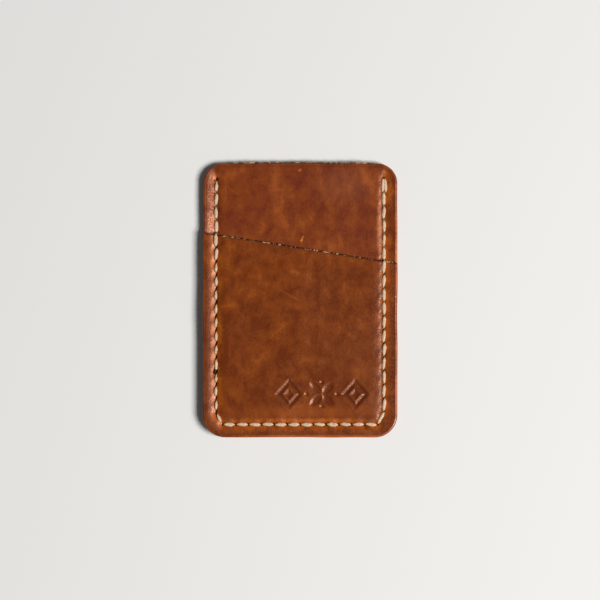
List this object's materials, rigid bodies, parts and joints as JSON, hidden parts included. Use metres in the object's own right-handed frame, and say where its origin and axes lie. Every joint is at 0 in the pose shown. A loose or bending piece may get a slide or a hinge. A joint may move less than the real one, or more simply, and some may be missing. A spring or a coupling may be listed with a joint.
{
  "type": "card wallet",
  "caption": "Slim vertical leather card sleeve, saddle-stitched round three sides, with an open-topped main pocket and a slanted front pocket.",
  "frame": {"origin": "middle of the footprint, on the surface that the wallet lies on", "axes": "+Y towards the pocket mouths, +Z out of the front face, +X to the right seen from the front"},
  "size_m": [0.071, 0.1, 0.0058],
  "materials": {
    "leather": "waxed pull-up leather, satin, burnished edges",
    "waxed_thread": "natural waxed thread"
  },
  "bodies": {
    "root": {"back_panel": "leather", "middle_panel": "leather", "front_pocket_panel": "leather", "thread_front_needle_run": "waxed_thread", "thread_back_needle_run": "waxed_thread"}
  },
  "joints": []
}
